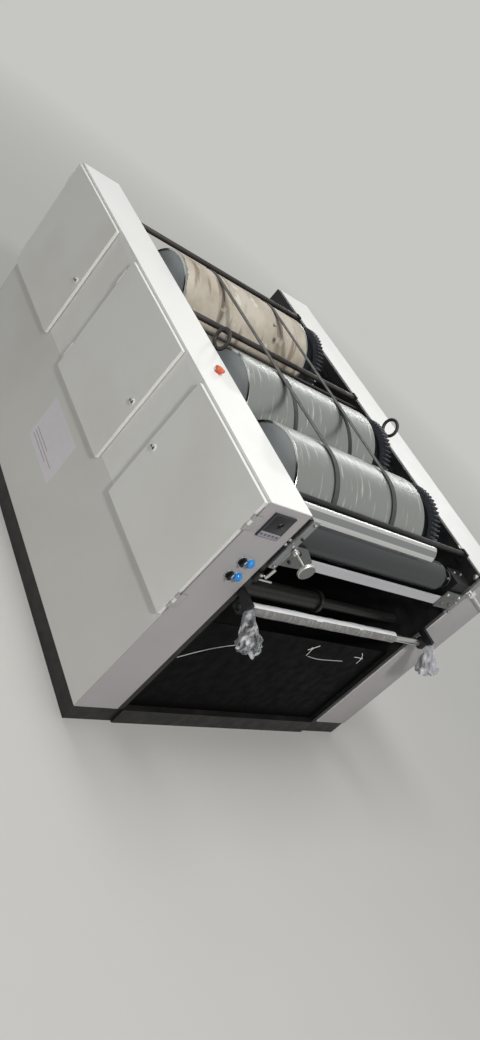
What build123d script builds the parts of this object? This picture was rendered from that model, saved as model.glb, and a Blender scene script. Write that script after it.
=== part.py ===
from build123d import *
import math
import os

# Flexographic printing press: two side frames with sheet-metal housings, three big drums
# driven by one gear train, and an infeed roller, guide bars and shafts at the infeed end.
# Sizes are in millimetres. While the pieces are made, x = 0 is the infeed end's face,
# y = 0 the outer face of the housing with the doors, and z = 0 the floor.

# Housings and base
press_length = 2005
plinth_height = 78
cabinet_height = 1030
cabinet_depth = 187
far_cabinet_drop = 23
far_cabinet_depth = 201
inner_width = 1133
sheet = 3
plinth_setback = 4
base_beam_width = 60
base_beam_proud = 5

# Side plates
plate_thickness = 25
plate_top_drop = 15
plate_bore_play = 2
far_plate_gap = 12
far_cap_overhang = 17

# Doors of the near housing
door_width = 537
door_height = 520
door_top_gap = 10
door_margin = 5
middle_door_back = 712
door_pan = 14
door_gap = 3
door_overlap = 18
door_shell = 2
door_corner = 3
lock_drop = 270
lock_inset = 33
lock_radius = 9
lock_depth = 12
lock_collar_radius = 13
lock_collar = 4
lock_reach = 8
lock_grip = 4
lock_grip_height = 18

# Door hinges
hinge_length = 60
hinge_inset = 78
pin_radius = 3
pin_play = 0.08
pin_offset = 7
pin_stand = 12
knuckle_radius = 5.5
knuckle_gap = 0.5
leaf_clearance = 1
hinge_leaf = 22
strap_thickness = 4

# Drums
drum_radius = 200
drum_near_gap = 30
drum_far_gap = 281
drum_wall = 10
drum_disc = 12
drum_recess = 6
drum_hub_radius = 70
drum_hub_proud = 6
drum_axis_drop = 132
drum_3_back = 330
drum_2_spacing = 405
drum_1_spacing = 660
shaft_radius = 30
shaft_play = 0.05
bearing_flange = 150
bearing_flange_thickness = 16
bearing_corner = 12
bearing_boss_radius = 56
bearing_boss_length = 45
wrap_thickness = 1.2
wrap_margin = 9

# Gear train at the drums' far ends
gear_module = 6
drum_gear_teeth = 64
small_idler_teeth = 32
large_idler_teeth = 56
pressure_angle = 20
addendum = 1
dedendum = 1.25
backlash = 0.8
gear_face = 40
gear_gap = 82
gear_rim = 16
gear_web = 16
gear_hub_radius = 62
stud_radius = 22
stud_collar_radius = 34
stud_collar_gap = 1
stud_head = 6

# Belts round the drums
belt_width = 24
belt_thickness = 3
belt_clearance = 0.3
belt_lanes = (206, 551)

# Tie bars and lifting rings
tie_bar_radius = 12
tie_bar_drop = 13
tie_bars_back = (1741, 1108, 129)
tie_mount_width = 36
tie_mount_thickness = 12
tie_mount_foot = 32
tie_mount_head = 16
guide_rod_radius = 6
guide_rod_back = 1061
guide_rod_drop = 36
ring_back = 843
ring_radius = 38
ring_wire = 7.5
ring_facets = 12
ring_stem_radius = 7
ring_stem = 17
ring_sink = 2
ring_collar_radius = 11
ring_collar = 8
ring_gap = 1

# Infeed roller, its slides and its guard
roller_radius = 56
roller_back = 57
roller_drop = 103
roller_near_gap = 28
roller_far_gap = 185
journal_radius = 12.5
journal_seat = 40
slide_width = 30
slide_thickness = 12
slide_overhang = 18
slide_proud = 5
slide_length = 218
block_width = 50
block_height = 80
block_depth = 24
far_block_depth = 110
guard_sheet = 3
guard_flange = 27
guard_drop = 19
guard_nose = 11
guard_proud = 5
guard_back = 83
guard_far_gap = 293

# Flat infeed bar, its brackets and the adjusting knob
bar_height = 40
bar_thickness = 8
bar_drop = 146
bracket_thickness = 6
bracket_height = 88
bracket_margin = 6
bracket_shoulder = 53
bracket_length = 118
far_bracket_length = 112
knob_above_bar = 65
knob_inset = 23
knob_rod_radius = 4.5
knob_rod_length = 90
knob_end_gap = 0.4
knob_nut_gap = 0.3
knob_nut_radius = 11
knob_nut_length = 12
knob_disc_radius = 30
knob_disc_thickness = 14
knob_rounding = 4

# Lower shaft in front of the infeed end, on two arms
lower_shaft_front = 41
lower_shaft_height = 641
lower_shaft_radius = 15
lower_shaft_overhang = 1
film_thickness = 9
film_near_gap = 37
film_far_gap = 204
arm_width = 22
arm_height = 25
arm_length = 72
arm_above_shaft = 19
arm_inset = 6
bearing_block = 36
bearing_length = 36

# Parts at the ends of the arms, wrapped in film: start and end of each one's middle line
bundle_neck_radius = 15
bundle_gap = 0.3
bundle_belly = 0.62
bundle_rise = 5
near_bundle_reach = (62, 80, -116)
near_bundle_radii = (46, 36)
far_bundle_reach = (76, 22, -66)
far_bundle_radii = (52, 38)

# Inner shaft behind the opening
inner_shaft_back = 124
inner_shaft_height = 587
inner_roll_radius = 34
inner_roll_near_gap = 6
inner_roll_far_gap = 536
inner_collar_radius = 44
inner_collar_length = 16
inner_shaft_radius = 20

# Closing panels between the side plates
panel_height = 490
panel_thickness = 3
panel_setback = 20

# Lever on the far side's front edge
lever_radius = 4
lever_length = 268
lever_tail = 40
lever_slope = 19
lever_drop = 85
lever_stand = 17
lever_clamp_width = 12
lever_clamp_height = 28
lever_clamp_wall = 3

# Screen, buttons and selectors on the housing's infeed end, emergency stop on its cap
screen_size = 96
screen_bezel = 6
screen_edge_radius = 2
screen_body = 88
screen_body_depth = 56
screen_inset = 46
screen_top = 29
button_inset = 126
selector_inset = 92
control_drops = (235, 298)
button_radius = 15
button_reach = 12
button_edge_radius = 3
control_collar_radius = 17
control_collar = 5
selector_reach = 22
selector_grip = 8
barrel_radius = 11
barrel_length = 32
stop_back = 650
stop_inset = 112
stop_collar_radius = 22
stop_collar = 10
stop_neck_radius = 12
stop_radius = 19
stop_height = 34
stop_head_height = 16
stop_under_bevel = 4
stop_top_bevel = 5
stop_crown_radius = 13

# Derived places
cabinet_top = plinth_height + cabinet_height
far_cabinet_top = cabinet_top - far_cabinet_drop
plate_top = cabinet_top - plate_top_drop
near_plate = (cabinet_depth, cabinet_depth + plate_thickness)
far_cabinet_face = cabinet_depth + inner_width
press_width = far_cabinet_face + far_cabinet_depth
far_plate = (far_cabinet_face - far_plate_gap - plate_thickness, far_cabinet_face - far_plate_gap)
far_plate_top = far_cabinet_top - sheet
between_plates = (near_plate[1], far_plate[0])
door_back_face = -door_gap
door_front_face = -door_gap - door_pan
door_ceiling = cabinet_top - door_top_gap
door_floor = door_ceiling - door_height
door_edges = (-press_length + door_margin, -middle_door_back - door_width,
              -door_margin - door_width)
drum_z = plate_top - drum_axis_drop
drum_start = near_plate[1] + drum_near_gap
drum_end = far_plate[0] - drum_far_gap
drum_x = {3: -drum_3_back, 2: -drum_3_back - drum_2_spacing}
drum_x[1] = drum_x[2] - drum_1_spacing
gear_start = drum_end + gear_gap
gear_end = gear_start + gear_face
roller_z = plate_top - roller_drop
bar_z = plate_top - bar_drop - bar_height
knob_y = near_plate[1] + knob_inset
knob_z = bar_z + knob_above_bar
lower_shaft_z = plinth_height + lower_shaft_height
arm_z = (lower_shaft_z + arm_above_shaft, lower_shaft_z + arm_above_shaft + arm_height)
pieces = {}


def block(x_range, y_range, z_range):
    """A box given by its lowest and highest x, y and z."""
    sizes = [high - low for low, high in (x_range, y_range, z_range)]
    middle = [(high + low) / 2 for low, high in (x_range, y_range, z_range)]
    return Pos(*middle) * Box(*sizes)


def across(radius, x, z, y_low, y_high):
    """A round bar across the press."""
    return Pos(x, (y_low + y_high) / 2, z) * Rot(90, 0, 0) * Cylinder(radius, y_high - y_low)


def along(radius, y, z, x_low, x_high):
    """A round bar along the press."""
    return Pos((x_low + x_high) / 2, y, z) * Rot(0, 90, 0) * Cylinder(radius, x_high - x_low)


def upright(radius, x, y, z_low, z_high):
    """A round upright bar."""
    return Pos(x, y, (z_low + z_high) / 2) * Cylinder(radius, z_high - z_low)


def side_plane(y):
    """A plane seen from the near side, with its own x along the press and its y up."""
    return Plane(origin=(0, y, 0), x_dir=(1, 0, 0), z_dir=(0, -1, 0))


def keep(name, *solids):
    """Puts a piece, or like pieces that share a name, on the list that is written at the end."""
    pieces[name] = list(solids)


def base():
    """The dark plinth: a rail under each housing and a beam across each end."""
    height = (0, plinth_height)
    rails_x = (-press_length + plinth_setback, -plinth_setback)
    rails_y = ((plinth_setback, near_plate[1]), (far_plate[0], press_width - plinth_setback))
    beams_x = ((-base_beam_width, base_beam_proud),
               (-press_length + plinth_setback, -press_length + base_beam_width))
    keep("base_rails", *[block(rails_x, y, height) for y in rails_y])
    keep("base_beams", *[block(x, between_plates, height) for x in beams_x])


def side_plates():
    """The two plates that carry everything between them, bored for the drums' shafts."""
    near = block((-press_length, 0), near_plate, (plinth_height, plate_top))
    far = block((-press_length, 0), far_plate, (plinth_height, far_plate_top))
    for x in drum_x.values():
        near -= across(shaft_radius + plate_bore_play, x, drum_z, *near_plate)
        far -= across(shaft_radius + plate_bore_play, x, drum_z, *far_plate)
    keep("side_plate_near", near)
    keep("side_plate_far", far)


def near_housing():
    """Sheet metal round the near side plate, open behind the doors."""
    low, high = door_floor + door_overlap, door_ceiling - door_overlap
    openings = [(edge + door_overlap, edge + door_width - door_overlap) for edge in door_edges]
    front, depth = (0, sheet), (0, cabinet_depth)
    inner_x = (-press_length + sheet, -sheet)
    lower = block(inner_x, front, (plinth_height, low))
    lower += block(inner_x, depth, (plinth_height, plinth_height + sheet))
    keep("housing_lower_sheet", lower)
    posts_x = ((openings[0][1], openings[1][0]), (openings[1][1], openings[2][0]))
    keep("housing_posts", *[block(x, front, (low, high)) for x in posts_x])
    end_z = (plinth_height, cabinet_top - sheet)
    rear = block((-press_length, -press_length + sheet), depth, end_z)
    rear += block((-press_length + sheet, openings[0][0]), front, (low, high))
    keep("housing_end_rear", rear)
    infeed_end = block((-sheet, 0), depth, end_z)
    infeed_end += block((openings[2][1], -sheet), front, (low, high))
    y, z = screen_place()
    half = screen_body / 2
    infeed_end -= block((-sheet, 0), (y - half, y + half), (z - half, z + half))
    for drop in control_drops:
        for inset in (button_inset, selector_inset):
            infeed_end -= along(barrel_radius, inset, cabinet_top - drop, -sheet, 0)
    keep("housing_end_front", infeed_end)
    cap = block((-press_length, 0), depth, (cabinet_top - sheet, cabinet_top))
    cap += block(inner_x, front, (high, cabinet_top - sheet))
    keep("housing_cap_near", cap)


def far_housing():
    """The closed housing of the far side and its cap, which reaches over the far plate."""
    outer = block((-press_length, 0), (far_cabinet_face, press_width),
                  (plinth_height, far_plate_top))
    inner = block((-press_length + sheet, -sheet),
                  (far_cabinet_face + sheet, press_width - sheet),
                  (plinth_height + sheet, far_plate_top - sheet))
    keep("housing_far", outer - inner)
    keep("housing_cap_far", block((-press_length, 0),
                                  (far_cabinet_face - far_cap_overhang, press_width),
                                  (far_plate_top, far_cabinet_top)))


def hinge_place(index):
    """The x place of a door's pins, and which way the door lies from them."""
    if index == 2:
        return door_edges[index] + door_width + pin_offset, -1
    return door_edges[index] - pin_offset, 1


def hinge_heights():
    """The middle heights of a door's two hinges."""
    return door_floor + hinge_inset, door_ceiling - hinge_inset


def fixed_hinge(index, middle):
    """The leaf on the housing with its outer knuckles and the pin."""
    x, way = hinge_place(index)
    low, high = middle - hinge_length / 2, middle + hinge_length / 2
    third = hinge_length / 3
    web_end = -pin_stand + knuckle_radius + leaf_clearance
    hinge = upright(pin_radius, x, -pin_stand, low, high)
    if index == 1:
        hinge += block((x - hinge_leaf, x + pin_radius), (-door_gap, 0), (low, high))
        web = ((x - pin_radius, x + pin_radius), (-pin_stand, -door_gap))
    else:
        wall = (0, door_gap) if way < 0 else (-press_length - door_gap, -press_length)
        hinge += block(wall, (web_end, hinge_leaf), (low, high))
        web = (wall, (-pin_stand, web_end))
    for knuckle in ((low, low + third), (high - third, high)):
        hinge += upright(knuckle_radius, x, -pin_stand, *knuckle)
        hinge += block(*web, knuckle)
    return hinge


def door(index):
    """A folded door pan with its middle knuckles and a quarter-turn lock."""
    edge = door_edges[index]
    x, way = hinge_place(index)
    x_range = (edge, edge + door_width)
    pan = block(x_range, (door_front_face, door_back_face), (door_floor, door_ceiling))
    pan = fillet(pan.edges().filter_by(Axis.Y), door_corner)
    pan -= block((x_range[0] + door_shell, x_range[1] - door_shell),
                 (door_front_face + door_shell, door_back_face),
                 (door_floor + door_shell, door_ceiling - door_shell))
    third = hinge_length / 3
    strap_x = sorted((x, x + way * (pin_offset + door_shell)))
    strap_y = (-pin_stand - strap_thickness / 2, -pin_stand + strap_thickness / 2)
    for middle in hinge_heights():
        knuckle = (middle - third / 2 + knuckle_gap, middle + third / 2 - knuckle_gap)
        pan += upright(knuckle_radius, x, -pin_stand, *knuckle)
        pan += block(strap_x, strap_y, knuckle)
        pan -= upright(pin_radius + pin_play, x, -pin_stand, *knuckle)
    lock_x = edge + lock_inset if way < 0 else edge + door_width - lock_inset
    lock_z = door_ceiling - lock_drop
    collar_face = door_front_face - lock_collar
    pan += across(lock_radius, lock_x, lock_z, door_front_face, door_back_face + lock_depth)
    pan += across(lock_collar_radius, lock_x, lock_z, collar_face, door_front_face)
    pan += block((lock_x - lock_grip / 2, lock_x + lock_grip / 2),
                 (door_front_face - lock_reach, collar_face),
                 (lock_z - lock_grip_height / 2, lock_z + lock_grip_height / 2))
    return pan


def doors():
    keep("door_hinges", *[fixed_hinge(index, middle)
                          for index in range(3) for middle in hinge_heights()])
    for index in range(3):
        keep(f"door_{index + 1}", door(index))


def drum(x):
    """A steel drum: a rim tube with set-back end discs, bored for its shaft."""
    body = across(drum_radius, x, drum_z, drum_start, drum_end)
    body -= across(drum_radius - drum_wall, x, drum_z, drum_start, drum_end)
    near_disc = drum_start + drum_recess
    far_disc = drum_end - drum_recess - drum_disc
    for low in (near_disc, far_disc):
        body += across(drum_radius - drum_wall, x, drum_z, low, low + drum_disc)
    body += across(drum_hub_radius, x, drum_z, near_disc - drum_hub_proud, near_disc)
    return body - across(shaft_radius, x, drum_z, drum_start, drum_end)


def bearing(x, seat):
    """A flanged bearing on the near face of a side plate, round a drum's shaft."""
    flange = Box(bearing_flange, bearing_flange, bearing_flange_thickness)
    flange = fillet(flange.edges().filter_by(Axis.Z), bearing_corner)
    housing = Pos(x, seat - bearing_flange_thickness / 2, drum_z) * Rot(90, 0, 0) * flange
    boss = (seat - bearing_boss_length, seat)
    housing += across(bearing_boss_radius, x, drum_z, *boss)
    return housing - across(shaft_radius + shaft_play, x, drum_z, *boss)


def drums():
    """The drums on their shafts, the wrapping paper on the rearmost, and the bearings."""
    for number, x in drum_x.items():
        keep(f"drum_{number}", drum(x))
        keep(f"drum_shaft_{number}", across(shaft_radius, x, drum_z,
                                            near_plate[0] - bearing_boss_length, far_plate[1]))
    paper = across(drum_radius + wrap_thickness, drum_x[1], drum_z,
                   drum_start + wrap_margin, drum_end - wrap_margin)
    keep("drum_1_wrap", paper - across(drum_radius, drum_x[1], drum_z, drum_start, drum_end))
    keep("drum_bearings_near", *[bearing(x, near_plate[0]) for x in drum_x.values()])
    keep("drum_bearings_far", *[bearing(x, far_plate[0]) for x in drum_x.values()])


def tooth_half_angle(teeth, radius):
    """Half of a tooth's angle at a radius, on an involute flank."""
    pitch_radius = gear_module * teeth / 2
    base_radius = pitch_radius * math.cos(math.radians(pressure_angle))

    def roll(at):
        angle = math.acos(min(1, base_radius / at))
        return math.tan(angle) - angle

    half_at_pitch = math.pi / (2 * teeth) - backlash / (4 * pitch_radius)
    return half_at_pitch + roll(pitch_radius) - roll(max(radius, base_radius))


def gear(teeth, phase, x, z, bore):
    """A spur gear with a thin web between its hub and its rim."""
    pitch_radius = gear_module * teeth / 2
    tip = pitch_radius + addendum * gear_module
    root = pitch_radius - dedendum * gear_module
    flank = (root, pitch_radius, tip)
    outline = []
    for tooth in range(teeth):
        middle = phase + 2 * math.pi * tooth / teeth
        for side, radii in ((-1, flank), (1, reversed(flank))):
            for radius in radii:
                angle = middle + side * tooth_half_angle(teeth, radius)
                outline.append((x + radius * math.cos(angle), z + radius * math.sin(angle)))
    face = make_face(Polyline(*outline, close=True))
    wheel = extrude(side_plane(gear_end) * face, gear_face)
    recess = (gear_face - gear_web) / 2
    web_outside = root - gear_rim
    if web_outside > gear_hub_radius + gear_rim:
        for low in (gear_start, gear_end - recess):
            ring = across(web_outside, x, z, low, low + recess)
            wheel -= ring - across(gear_hub_radius, x, z, low, low + recess)
    return wheel - across(bore, x, z, gear_start, gear_end)


def mesh_phase(phase, teeth, direction, other_teeth):
    """The phase of a gear that meshes with one at the given phase, in a direction from it."""
    pitch = 2 * math.pi / teeth
    offset = (phase - direction) % pitch
    return direction + math.pi - offset * teeth / other_teeth + math.pi / other_teeth


def idler_place(span, teeth, way):
    """Where an idler meshes with drum 2's gear and a neighbour's, below their line."""
    reach = gear_module * (drum_gear_teeth + teeth) / 2
    return drum_x[2] + way * span / 2, drum_z - math.sqrt(reach ** 2 - (span / 2) ** 2)


def gear_train():
    """Drum gears of one size, with an idler under each pair, so all drums turn alike."""
    phase = {2: 0}
    idler_bore = stud_radius + shaft_play
    studs = []
    for name, drum_number, span, teeth, way in (
            ("idler_gear_small", 3, drum_2_spacing, small_idler_teeth, 1),
            ("idler_gear_large", 1, drum_1_spacing, large_idler_teeth, -1)):
        x, z = idler_place(span, teeth, way)
        to_idler = math.atan2(z - drum_z, x - drum_x[2])
        to_drum = math.atan2(drum_z - z, drum_x[drum_number] - x)
        idler_phase = mesh_phase(phase[2], drum_gear_teeth, to_idler, teeth)
        phase[drum_number] = mesh_phase(idler_phase, teeth, to_drum, drum_gear_teeth)
        keep(name, gear(teeth, idler_phase, x, z, idler_bore))
        head = gear_start - stud_collar_gap
        stud = across(stud_radius, x, z, head, far_plate[0])
        stud += across(stud_collar_radius, x, z, gear_end + stud_collar_gap, far_plate[0])
        studs.append(stud + across(stud_collar_radius, x, z, head - stud_head, head))
    keep("idler_studs", *studs)
    for number, x in drum_x.items():
        keep(f"drum_gear_{number}", gear(drum_gear_teeth, phase[number], x, drum_z, shaft_radius))


def belt(lane):
    """One endless flat belt round all three drums."""
    inner = drum_radius + wrap_thickness + belt_clearance
    outer = inner + belt_thickness
    span = drum_x[3] - drum_x[1]
    loop = SlotCenterToCenter(span, 2 * outer) - SlotCenterToCenter(span, 2 * inner)
    middle = Pos((drum_x[3] + drum_x[1]) / 2, drum_z)
    return extrude(side_plane(drum_start + lane + belt_width / 2) * middle * loop, belt_width)


def tie_bars():
    """Bars between the side plates, on blocks at the far plate, and a thin guide rod."""
    z = plate_top - tie_bar_drop
    seat = far_plate[0] - tie_mount_thickness
    keep("tie_bars", *[across(tie_bar_radius, -back, z, near_plate[1], seat)
                       for back in tie_bars_back])
    keep("tie_bar_mounts", *[block((-back - tie_mount_width / 2, -back + tie_mount_width / 2),
                                   (seat, far_plate[0]), (z - tie_mount_foot, z + tie_mount_head))
                             for back in tie_bars_back])
    keep("guide_rod", across(guide_rod_radius, -guide_rod_back, plate_top - guide_rod_drop,
                             *between_plates))


def lifting_ring(y, seat):
    """An eye bolt on a side plate's top edge."""
    section = Pos(ring_radius, 0) * RegularPolygon(ring_wire, ring_facets)
    middle = seat + ring_stem - ring_sink + ring_radius
    ring = Pos(-ring_back, y, middle) * revolve(section, Axis.Y)
    ring += upright(ring_stem_radius, -ring_back, y, seat, seat + ring_stem)
    return ring + upright(ring_collar_radius, -ring_back, y, seat, seat + ring_collar)


def infeed_slide(plate_face, way, depth):
    """A slide bar on a side plate's front edge, with the roller's bearing block."""
    high = plate_top + slide_proud
    bar_y = sorted((plate_face - way * (slide_width - slide_overhang),
                    plate_face + way * slide_overhang))
    slide = block((0, slide_thickness), bar_y, (high - slide_length, high))
    block_y = sorted((plate_face, plate_face + way * depth))
    slide += block((-roller_back - block_width / 2, 0), block_y,
                   (roller_z - block_height / 2, roller_z + block_height / 2))
    return slide - across(journal_radius + shaft_play, -roller_back, roller_z, *block_y)


def infeed():
    """The big roller, its slides, and the curved guard over it."""
    start = near_plate[1] + roller_near_gap
    end = far_plate[0] - roller_far_gap
    far_seat = far_plate[0] - far_block_depth + journal_seat
    roller = across(roller_radius, -roller_back, roller_z, start, end)
    roller += across(journal_radius, -roller_back, roller_z, near_plate[1], start)
    roller += across(journal_radius, -roller_back, roller_z, end, far_seat)
    keep("infeed_roller", roller)
    keep("infeed_slides", infeed_slide(near_plate[1], 1, block_depth),
         infeed_slide(far_plate[0], -1, far_block_depth))
    top = plate_top + guard_proud
    web = guard_flange - guard_back
    nose = (web, top - guard_drop - guard_nose)
    outer = CenterArc(nose, guard_nose, 0, 90)
    inner = CenterArc(nose, guard_nose - guard_sheet, 0, 90)
    over = Polyline(outer @ 1, (web, top), (-guard_back, top), (-guard_back, top - guard_sheet),
                    (web - guard_sheet, top - guard_sheet),
                    (web - guard_sheet, top - guard_drop - guard_sheet), inner @ 1)
    section = make_face([outer, over, inner, Line(inner @ 0, outer @ 0)])
    guard_end = far_plate[0] - guard_far_gap
    keep("roller_guard", extrude(side_plane(guard_end) * section, guard_end - near_plate[1]))


def infeed_bar():
    """The flat bar across the infeed end with a bracket at each slide."""
    start, end = near_plate[1] + slide_overhang, far_plate[0] - slide_overhang
    bar = block((0, bar_thickness), (start, end), (bar_z, bar_z + bar_height))
    foot = bar_z - bracket_margin
    outline = [(start, foot), (start, foot + bracket_height),
               (start + bracket_shoulder, foot + bracket_height),
               (start + bracket_length, bar_z + bar_height), (start + bracket_length, bar_z)]
    plane = Plane(origin=(bar_thickness, 0, 0), x_dir=(0, 1, 0), z_dir=(1, 0, 0))
    bar += extrude(plane * make_face(Polyline(*outline, close=True)), bracket_thickness)
    bar += block((bar_thickness, bar_thickness + bracket_thickness),
                 (end - far_bracket_length, end), (foot, bar_z + bar_height + bracket_margin))
    keep("infeed_bar", bar - along(knob_rod_radius + shaft_play, knob_y, knob_z, 0,
                                   bar_thickness + bracket_thickness))


def adjusting_knob():
    """A hand knob on a rod that turns in the near bracket."""
    disc = Cylinder(knob_disc_radius, knob_disc_thickness)
    disc = fillet(disc.edges().filter_by(GeomType.CIRCLE), knob_rounding)
    front = knob_rod_length + knob_disc_thickness
    knob = Pos(front - knob_disc_thickness / 2, knob_y, knob_z) * Rot(0, 90, 0) * disc
    knob += along(knob_rod_radius, knob_y, knob_z, knob_end_gap, knob_rod_length)
    nut = bar_thickness + bracket_thickness + knob_nut_gap
    knob += along(knob_nut_radius, knob_y, knob_z, nut, nut + knob_nut_length)
    keep("adjusting_knob", knob)


def lower_shaft():
    """The shaft in front of the infeed end, its wrapped length, and its arms."""
    x, z = lower_shaft_front, lower_shaft_z
    film = (near_plate[1] + film_near_gap, far_plate[0] - film_far_gap)
    ends = (near_plate[0] + arm_width, far_plate[0] + lower_shaft_overhang)
    keep("lower_shaft", across(lower_shaft_radius, x, z, *ends))
    keep("lower_shaft_film", across(lower_shaft_radius + film_thickness, x, z, *film)
         - across(lower_shaft_radius, x, z, *film))
    half = bearing_block / 2
    arms = []
    for inner, way in ((near_plate[0] + arm_inset, 1), (far_plate[1] - arm_inset, -1)):
        arm = block((0, arm_length), sorted((inner, inner + way * arm_width)), arm_z)
        bearing_y = sorted((inner, inner + way * bearing_length))
        arm += block((x - half, x + half), bearing_y, (z - half, arm_z[0]))
        arms.append(arm - across(lower_shaft_radius + shaft_play, x, z, *bearing_y))
    keep("shaft_arms", *arms)


def bundle(y, reach, radii):
    """A device at the end of an arm, wrapped in film for transport: a soft closed shape."""
    length = math.hypot(*reach)
    belly, foot = radii
    outline = [(0, 0), (bundle_neck_radius, 0), (belly, bundle_belly * length),
               (foot, length), (0, length)]
    half = make_face(Polyline(*[(radius, 0, run) for radius, run in outline], close=True))
    middle_line = Plane(origin=(arm_length, y, arm_z[0] + bundle_rise), z_dir=reach)
    wrapped = middle_line * revolve(half, Axis.Z)
    seat = arm_length + bundle_gap
    return wrapped - block((0, seat), (y - length, y + length),
                           (arm_z[0] - length, arm_z[1] + length))


def inner_shaft():
    """The dark roll with its collar, seen through the opening."""
    x, z = -inner_shaft_back, plinth_height + inner_shaft_height
    start = near_plate[1] + inner_roll_near_gap
    end = far_plate[0] - inner_roll_far_gap
    shaft = across(inner_roll_radius, x, z, start, end)
    shaft += across(inner_collar_radius, x, z, end, end + inner_collar_length)
    shaft += across(inner_shaft_radius, x, z, *between_plates)
    keep("inner_shaft", shaft)


def panels():
    z_range = (plinth_height, plinth_height + panel_height)
    rear = -press_length + panel_setback
    panels_x = ((-panel_setback - panel_thickness, -panel_setback), (rear, rear + panel_thickness))
    keep("closing_panels", *[block(x, between_plates, z_range) for x in panels_x])


def lever():
    """A thin lever in a clamp on the far plate's front edge, lying across the housing's end."""
    y = far_plate[1] - lever_clamp_width / 2
    z = plate_top - lever_drop
    clamp = block((0, lever_stand + lever_radius + lever_clamp_wall),
                  (far_plate[1] - lever_clamp_width, far_plate[1]),
                  (z - lever_clamp_height / 2, z + lever_clamp_height / 2))
    slope = math.radians(lever_slope)
    middle_line = Plane(origin=(lever_stand, y, z), z_dir=(0, math.cos(slope), -math.sin(slope)))
    rod = Pos(0, 0, lever_length / 2 - lever_tail) * Cylinder(lever_radius, lever_length)
    keep("far_lever", clamp + middle_line * rod)


def screen_place():
    """The screen's middle, across the press and above the floor."""
    return screen_inset + screen_size / 2, cabinet_top - screen_top - screen_size / 2


def controls():
    """The operator screen, two push buttons, two selectors and the emergency stop."""
    y, z = screen_place()
    half, body = screen_size / 2, screen_body / 2
    bezel = block((0, screen_bezel), (y - half, y + half), (z - half, z + half))
    bezel = fillet(bezel.faces().sort_by(Axis.X)[-1].edges(), screen_edge_radius)
    keep("operator_screen", bezel + block((-screen_body_depth, 0), (y - body, y + body),
                                          (z - body, z + body)))
    buttons = []
    for drop in control_drops:
        z = cabinet_top - drop
        button = along(button_radius, button_inset, z, control_collar, button_reach)
        button = chamfer(button.faces().sort_by(Axis.X)[-1].edges(), button_edge_radius)
        grip_y = (selector_inset - selector_grip / 2, selector_inset + selector_grip / 2)
        selector = block((control_collar, selector_reach), grip_y,
                         (z - button_radius, z + button_radius))
        for head, inset in ((button, button_inset), (selector, selector_inset)):
            collar = along(control_collar_radius, inset, z, 0, control_collar)
            buttons.append(head + collar + along(barrel_radius, inset, z, -barrel_length, 0))
    keep("control_buttons", *buttons)
    head_foot = stop_height - stop_head_height
    outline = [(0, 0), (stop_collar_radius, 0), (stop_collar_radius, stop_collar),
               (stop_neck_radius, stop_collar), (stop_neck_radius, head_foot),
               (stop_radius, head_foot + stop_under_bevel),
               (stop_radius, stop_height - stop_top_bevel),
               (stop_crown_radius, stop_height), (0, stop_height)]
    half_section = make_face(Polyline(*[(r, 0, h) for r, h in outline], close=True))
    keep("emergency_stop", Pos(-stop_back, stop_inset, cabinet_top) * revolve(half_section, Axis.Z))


def write():
    """Each piece in a file of its own, with the origin on the floor under the box's middle."""
    boxes = [solid.bounding_box() for solids in pieces.values() for solid in solids]
    middle_x = (min(box.min.X for box in boxes) + max(box.max.X for box in boxes)) / 2
    middle_y = (min(box.min.Y for box in boxes) + max(box.max.Y for box in boxes)) / 2
    shift = Pos(-middle_x, -middle_y, 0)
    os.makedirs("parts", exist_ok=True)
    for name, solids in pieces.items():
        moved = [shift * solid for solid in solids]
        export_step(moved[0] if len(moved) == 1 else Compound(children=moved),
                    f"parts/{name}.step")


base()
side_plates()
near_housing()
far_housing()
doors()
drums()
gear_train()
keep("belts", *[belt(lane) for lane in belt_lanes])
tie_bars()
keep("lifting_rings",
     lifting_ring(near_plate[0] + ring_collar_radius + ring_gap, plate_top),
     lifting_ring(far_cabinet_face - far_cap_overhang - ring_collar_radius - ring_gap,
                  far_plate_top))
infeed()
infeed_bar()
adjusting_knob()
lower_shaft()
keep("wrapped_bundle_near", bundle(near_plate[0] + arm_inset + arm_width / 2,
                                   near_bundle_reach, near_bundle_radii))
keep("wrapped_bundle_far", bundle(far_plate[1] - arm_inset - arm_width / 2,
                                  far_bundle_reach, far_bundle_radii))
inner_shaft()
panels()
lever()
controls()
write()
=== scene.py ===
# %% [markdown]
# A flexographic press prints on paper with soft plates that are wrapped round drums. This
# lesson gives the looks to a press that was first made as solids. The solids come in as a
# fixed frame: each one is a mesh that stays where it is, and it only gets a better finish.
# What is too soft, too thin or too small for a solid is modelled here and rides on a solid.

# %% Load the press
from math import atan2, cos, degrees, pi, radians, sin, tau

import bmesh
import bpy
from mathutils import Matrix, Vector, noise


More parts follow.
